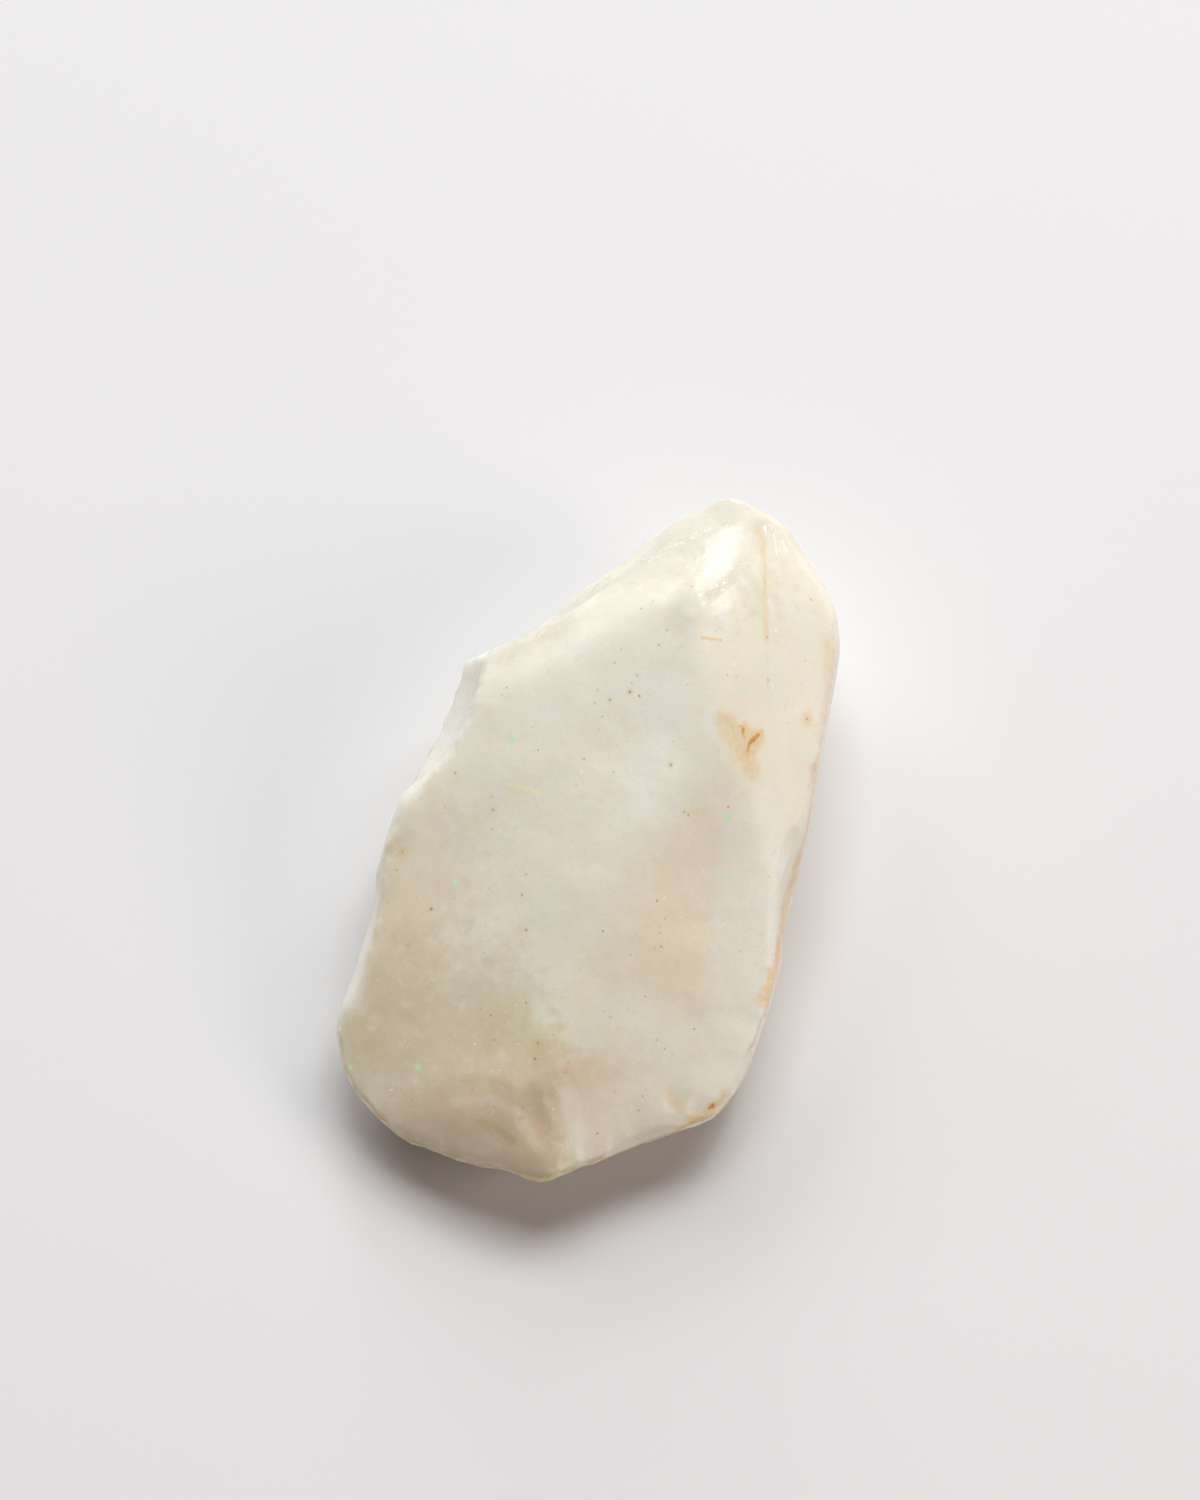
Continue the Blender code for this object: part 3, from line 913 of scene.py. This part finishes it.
# Colours and finish of the opal; the drawn marks' edges and halos are in widths of the mark.
opalLook = {
    "milk": (0.93, 0.885, 0.76, 1.0),
    "cool": (0.90, 0.88, 0.75, 1.0),
    "cream": (0.89, 0.785, 0.62, 1.0),
    # darker clear tint, laid on as painted shade
    "clearAndPaintedShade": (0.65, 0.62, 0.525, 1.0),
    # tone of the painted shade, also used for the fine mottle
    "paintedShadeAndMottle": (0.69, 0.61, 0.45, 1.0),
    "warm": (0.80, 0.58, 0.38, 1.0),
    "olive": (0.68, 0.62, 0.34, 1.0),
    "white": (0.97, 0.95, 0.87, 1.0),
    "rust": (0.80, 0.52, 0.16, 1.0),
    "freckle": (0.58, 0.30, 0.09, 1.0),
    "brown": (0.48, 0.24, 0.07, 1.0),
    "amber": (0.60, 0.31, 0.06, 1.0),
    "orange": (0.88, 0.62, 0.30, 1.0),
    # darker warm edge tint, partly painted shade
    "rim": (0.62, 0.50, 0.24, 1.0),
    # colour of the painted highlights
    "glint": (1.0, 1.0, 0.97, 1.0),
    "green": (0.66, 1.0, 0.62, 1.0),
    "yellow": (0.98, 0.95, 0.52, 1.0),
    "roughness": 0.36,
    "glossRoughness": 0.12,
    "ior": 1.45,
    "scatterWeight": 0.8,
    "scatter": 2.6,
    "scatterRadius": (1.0, 0.85, 0.68),
    "bump": 0.3,
    "glossBump": 0.6,
    "bumpDepth": 0.050,
    "wobbleScale": 4.0,
    "wobble": 0.22,
    "threadCloud": (0.25, 0.75, 0.6),
    "threadWidth": 0.022,
    "warmBreaks": (0.45, 0.85),
    "rustBreaks": (0.55, 1.0),
    "rimBend": (0.35, 0.95),
    "rimLow": (0.2, 0.8),
    "markEdge": (0.2, 1.0),
    "haloEdge": (0.5, 2.6),
}

# how much of each layer shows, 0 to 1
opalShares = {
    "clearAndPaintedShade": 0.75, "cream": 0.8, "creamPatches": 0.18, "paintedShadeAndMottle": 0.75, "olive": 0.5, "milk": 0.75,
    "fresh": 0.25, "seep": 0.4, "cracks": 0.55, "rim": 0.6, "wisps": 0.35, "veinsBelow": 0.16,
    "mottle": 0.16, "milkMottle": 0.22, "freckles": 0.75, "smudges": 0.45, "glints": 0.8,
    "paintedSparkle": 0.8, "halos": 0.25, "freshGloss": 0.2, "polish": 0.25,
}
drawnShares = {"orange": 0.75, "amber": 0.75, "brown": 0.75, "green": 0.7, "yellow": 0.48, "glint": 0.9}

# cloudy masks: size in mm, the levels they rise between, warp
opalClouds = {
    "cool": (9.0, 0.40, 0.62, 0.5),
    "creamPatches": (4.0, 0.46, 0.66, 0.8),
    "worn": (1.1, 0.30, 0.70, 0.6),
    "veins": (0.7, 0.35, 0.65, 0.5),
    "seep": (1.5, 0.42, 0.62, 0.8),
    "wisps": (3.5, 0.45, 0.65, 0.0),
    "veinsBelow": (2.6, 0.5, 0.7, 0.0),
    "mottle": (0.16, 0.35, 0.75, 0.0),
    "milkMottle": (0.7, 0.50, 0.75, 0.3),
    "paintedSparkle": (0.26, 0.58, 0.66, 0.4),
    "polish": (2.4, 0.35, 0.65, 0.3),
}
# thin lines where a cloud crosses a level: size of the cloud in mm, level
opalThreads = {
    "wideCracks": (2.4, 0.5),
    "fineCracks": (1.1, 0.42),
    "wisps": (5.0, 0.5),
    "veinsBelow": (3.1, 0.46),
}
# scattered specks: spacing and radius in mm, chance
opalScatter = {"freckles": (0.85, 0.12, 0.30), "smudges": (2.2, 0.24, 0.22), "glints": (0.80, 0.12, 0.30)}


def opalMaterial():
    look = opalLook
    material = bpy.data.materials.new("milkyOpal")
    material.use_nodes = True
    tree = material.node_tree
    shader = tree.nodes["Principled BSDF"]
    clouds, scattered, grain, line = cloudGroup(), speckGroup(), reliefGroup(), lineGroup()

    def group(which, values, links):
        return addNode(tree, "ShaderNodeGroup", {"node_tree": which}, values, links).outputs

    rowPlace = addNode(tree, "ShaderNodeTexCoord").outputs["Object"]
    position = vectorMaths(tree, "SCALE", {"Scale": 1.0 / mm}, {0: rowPlace})[0]
    wobbleValues = {"Scale": look["wobbleScale"], "Detail": 2.0}
    wobble = addNode(tree, "ShaderNodeTexNoise", None, wobbleValues, {"Vector": position}).outputs["Color"]
    nudgeValues = {1: [look["wobble"]] * 3, 2: [-0.5 * look["wobble"]] * 3}
    nudge = vectorMaths(tree, "MULTIPLY_ADD", nudgeValues, {0: wobble})[0]
    ragged = vectorMaths(tree, "ADD", None, {0: position, 1: nudge})[0]

    def cloudy(size, low, high, warp):
        values = {"Size": size, "Low": low, "High": high, "Warp": warp}
        return group(clouds, values, {"Position": position})["Mask"]

    def milk(name):
        return cloudy(*opalClouds[name])

    def thread(name):
        size, level = opalThreads[name]
        away = maths(tree, "SUBTRACT", cloudy(size, *look["threadCloud"]), level)
        return rangeOf(tree, maths(tree, "ABSOLUTE", away), 0.0, look["threadWidth"], 1.0, 0.0)

    def scatter(name):
        spacing, radius, chance = opalScatter[name]
        values = {"Spacing": spacing, "Radius": radius, "Chance": chance}
        return group(scattered, values, {"Position": ragged})["Mask"]

    def mask(name):
        return addNode(tree, "ShaderNodeAttribute", {"attribute_name": name}).outputs["Fac"]

    def both(first, second):
        return maths(tree, "MULTIPLY", first, second)

    def share(value, name):
        return both(value, opalShares[name])

    def lay(colour, amount, name):  # one more layer of colour over what is there
        return blendColour(tree, amount, colour, look[name])

    def drawn(kind):  # how far the nearest of the drawn marks of a kind is, in widths of that mark
        found = []
        for pixel, size in specks.get(kind, ()):
            apart = vectorMaths(tree, "DISTANCE", {1: rowMm(onSkin(pixel)[0])}, {0: ragged})["Value"]
            found.append(maths(tree, "DIVIDE", apart, size))
        for (start, end), width in hairLines.get(kind, ()):
            values = {"Start": rowMm(onSkin(start)[0]), "End": rowMm(onSkin(end)[0]), "Width": width}
            found.append(group(line, values, {"Position": ragged})["Widths"])
        nearest = found[0]
        for other in found[1:]:
            nearest = maths(tree, "MINIMUM", nearest, other)
        return nearest

    # the body of the stone, from its heart outward
    colour = blendColour(tree, milk("cool"), look["milk"], look["cool"])
    # painted shade: thin edges and the marked tip and bevel take the darker clear tint
    colour = lay(colour, share(maths(tree, "MAXIMUM", mask("thin"), mask("clearAndPaintedShade")), "clearAndPaintedShade"), "clearAndPaintedShade")
    colour = lay(colour, share(mask("cream"), "cream"), "cream")
    colour = lay(colour, share(milk("creamPatches"), "creamPatches"), "cream")
    # painted shade on the front-left and lower faces
    colour = lay(colour, share(mask("paintedShadeAndMottle"), "paintedShadeAndMottle"), "paintedShadeAndMottle")
    worn = rangeOf(tree, milk("worn"), 0.0, 1.0, *look["warmBreaks"])
    colour = lay(colour, both(mask("warm"), worn), "warm")
    # olive tint, partly painted shade in the ripple crescents
    colour = lay(colour, share(mask("olive"), "olive"), "olive")
    # painted light from the milk marks
    colour = lay(colour, share(mask("milk"), "milk"), "white")
    colour = lay(colour, share(mask("fresh"), "fresh"), "white")

    # rust in its cracks; along its sharp low edges a darker warm tint, partly the stone's tan rim, partly
    # painted shade at its thin edges
    veins = rangeOf(tree, milk("veins"), 0.0, 1.0, *look["rustBreaks"])
    colour = lay(colour, both(mask("rust"), veins), "rust")
    colour = lay(colour, share(both(mask("seep"), milk("seep")), "seep"), "rust")
    cracks = both(mask("seep"), maths(tree, "MAXIMUM", thread("wideCracks"), thread("fineCracks")))
    colour = lay(colour, share(cracks, "cracks"), "freckle")
    edge = both(rangeOf(tree, mask("bend"), *look["rimBend"]), rangeOf(tree, mask("low"), *look["rimLow"]))
    colour = lay(colour, share(edge, "rim"), "rim")

    # wisps, veins and mottling all over, then scattered specks, the white glints among them painted
    # highlights
    colour = lay(colour, share(both(thread("wisps"), milk("wisps")), "wisps"), "white")
    colour = lay(colour, share(both(thread("veinsBelow"), milk("veinsBelow")), "veinsBelow"), "brown")
    colour = lay(colour, share(milk("mottle"), "mottle"), "paintedShadeAndMottle")
    colour = lay(colour, share(milk("milkMottle"), "milkMottle"), "white")
    colour = lay(colour, share(scatter("freckles"), "freckles"), "freckle")
    colour = lay(colour, share(scatter("smudges"), "smudges"), "rust")
    colour = lay(colour, share(scatter("glints"), "glints"), "glint")
    # painted highlight: white sparkle in the glossy places, standing in for the mottled highlight
    colour = lay(colour, share(both(milk("paintedSparkle"), mask("gloss")), "paintedSparkle"), "glint")

    # single marks, the brown ones with a rusty halo; the glint marks are painted highlights
    brown = drawn("brown")
    colour = lay(colour, rangeOf(tree, brown, *look["haloEdge"], opalShares["halos"], 0.0), "rust")
    for kind, amount in drawnShares.items():
        near = brown if kind == "brown" else drawn(kind)
        colour = lay(colour, rangeOf(tree, near, *look["markEdge"], amount, 0.0), kind)
    tree.links.new(colour, shader.inputs["Base Color"])

    shiny = maths(tree, "MAXIMUM", mask("gloss"), share(mask("fresh"), "freshGloss"))
    gloss = maths(tree, "ADD", shiny, share(milk("polish"), "polish"), clamp=True)
    roughness = rangeOf(tree, gloss, 0.0, 1.0, look["roughness"], look["glossRoughness"])
    tree.links.new(roughness, shader.inputs["Roughness"])
    height = both(
        group(grain, None, {"Position": position})["Height"],
        rangeOf(tree, gloss, 0.0, 1.0, look["bump"], look["glossBump"]),
    )
    bump = addNode(tree, "ShaderNodeBump", None, {"Distance": look["bumpDepth"] * mm}, {"Height": height})
    tree.links.new(bump.outputs[0], shader.inputs["Normal"])
    shader.inputs["IOR"].default_value = look["ior"]
    shader.inputs["Subsurface Weight"].default_value = look["scatterWeight"]
    shader.inputs["Subsurface Radius"].default_value = look["scatterRadius"]
    shader.inputs["Subsurface Scale"].default_value = look["scatter"] * mm
    return material


stoneMesh.materials.append(opalMaterial())
print("opal finished")

floorLook = {"side": 4.0, "colour": (0.81, 0.81, 0.83, 1.0), "roughness": 0.8}


def paleFloor():
    sheet = bmesh.new()
    bmesh.ops.create_grid(sheet, x_segments=1, y_segments=1, size=0.5 * floorLook["side"])
    mesh = bpy.data.meshes.new("paleFloor")
    sheet.to_mesh(mesh)
    sheet.free()
    floor = bpy.data.objects.new("paleFloor", mesh)
    bpy.context.scene.collection.objects.link(floor)
    material = bpy.data.materials.new("palePaper")
    material.use_nodes = True
    shader = material.node_tree.nodes["Principled BSDF"]
    shader.inputs["Base Color"].default_value = floorLook["colour"]
    shader.inputs["Roughness"].default_value = floorLook["roughness"]
    mesh.materials.append(material)


paleFloor()


def toRow(point):  # from the camera's layout in mm to the row frame in metres
    return Vector(rowMm(point)) * mm


# soft boxes: bearing and rise in degrees, distance, width and height in m, watts, colour
lights = {
    "sideLeft": (-75.0, 14.0, 1.2, 0.6, 0.4, 0.8, (0.97, 1.0, 1.0)),
    "boxLeft": (-33.0, 35.0, 1.2, 0.5, 0.5, 2.7, (0.96, 0.99, 1.0)),
    "window": (-1.0, 20.0, 1.2, 0.34, 0.6, 4.0, (0.98, 1.0, 1.0)),
    "boxRight": (42.0, 46.0, 1.2, 0.5, 0.5, 3.3, (0.98, 1.0, 1.0)),
    "sideRight": (110.0, 32.0, 1.2, 0.5, 0.5, 3.6, (1.0, 0.85, 0.75)),
    "overhead": (10.0, 62.0, 1.3, 0.8, 0.8, 9.7, (0.97, 1.0, 1.0)),
}
lightsAim = (0.0, -12.0, 8.0)  # mm, in the camera's layout
roomLight = {"colour": (1.0, 0.55, 0.42, 1.0), "strength": 0.06}


def softBox(name, bearing, rise, distance, wide, tall, watts, colour):
    data = bpy.data.lights.new(name, "AREA")
    data.shape = "RECTANGLE"
    data.size = wide
    data.size_y = tall
    data.energy = watts
    data.color = colour
    lamp = bpy.data.objects.new(name, data)
    bpy.context.scene.collection.objects.link(lamp)
    lamp.location = toRow(np.array(lightsAim) + facing(bearing, 90.0 - rise) * distance / mm)
    lamp.rotation_mode = "QUATERNION"
    lamp.rotation_quaternion = (toRow(lightsAim) - lamp.location).to_track_quat("-Z", "Y")
    lamp.visible_camera = False


for name, values in lights.items():
    softBox(name, *values)
world = bpy.data.worlds.new("paleRoom")
world.use_nodes = True
background = world.node_tree.nodes["Background"]
background.inputs["Color"].default_value = roomLight["colour"]
background.inputs["Strength"].default_value = roomLight["strength"]
bpy.context.scene.world = world

cameraData = bpy.data.cameras.new("frontView")
cameraData.lens = cameraSetup["lens"]
cameraData.sensor_width = cameraSetup["sensor"]
cameraData.clip_start, cameraData.clip_end = cameraSetup["clip"]
camera = bpy.data.objects.new("frontView", cameraData)
bpy.context.scene.collection.objects.link(camera)
camera.location = toRow(cameraPlace)
camera.rotation_mode = "QUATERNION"
camera.rotation_quaternion = (toRow((0.0, 0.0, 0.0)) - camera.location).to_track_quat("-Z", "Y")
bpy.context.scene.camera = camera
bpy.context.scene.view_settings.view_transform = "Standard"
print("stage set")
